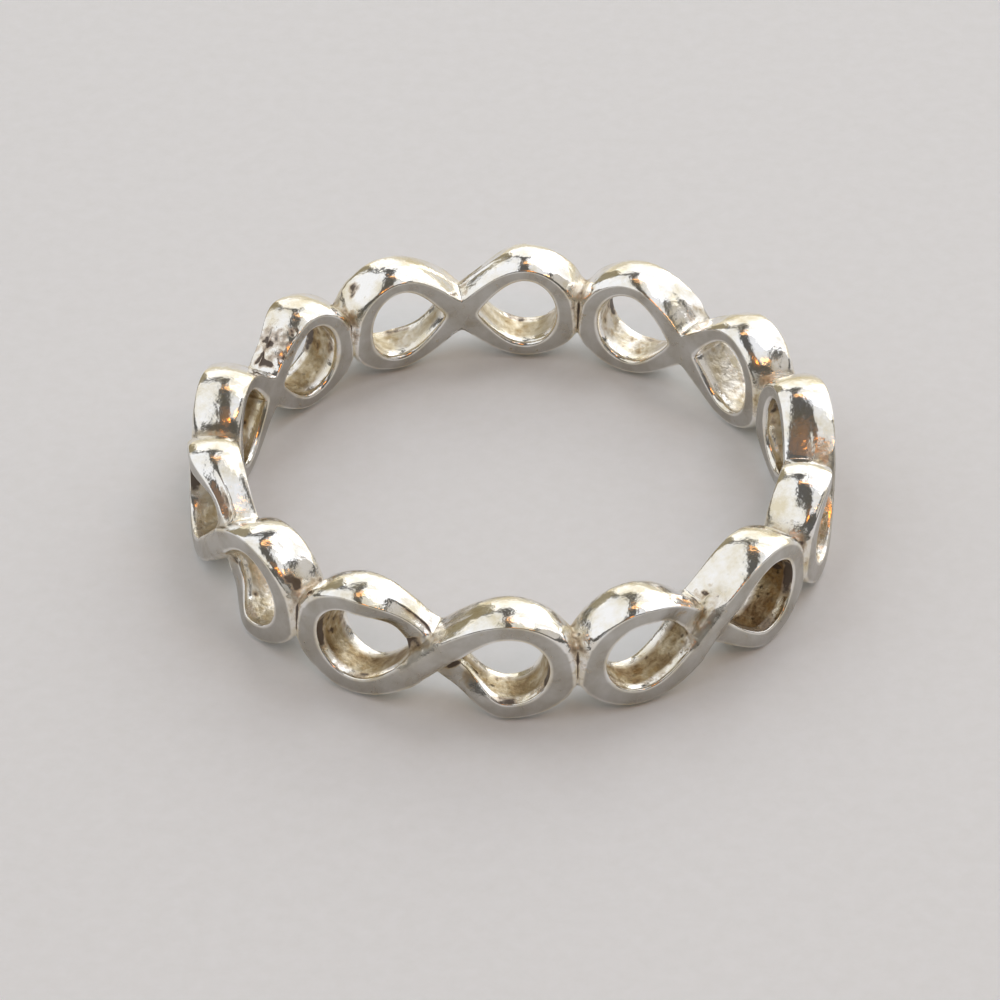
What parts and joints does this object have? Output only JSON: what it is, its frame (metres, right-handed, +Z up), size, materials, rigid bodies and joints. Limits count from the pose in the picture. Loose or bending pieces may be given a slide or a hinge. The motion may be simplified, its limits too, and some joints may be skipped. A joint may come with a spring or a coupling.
{
  "type": "infinity ring",
  "caption": "Openwork eternity ring of linked figure eights, one cast silver band whose strands pass over and under each other at every crossing.",
  "frame": {"origin": "centre of the band on the surface that it lies on, under the finger's axis", "axes": "+Z up along the finger's axis, -Y towards the camera of the reference view, +X to its right"},
  "size_m": [0.0206, 0.0206, 0.0038],
  "materials": {
    "silver": "polished sterling silver, worn soft, with dull brown tarnish and casting skin inside the holes"
  },
  "bodies": {
    "root": {"infinity_band": "silver"}
  },
  "joints": []
}
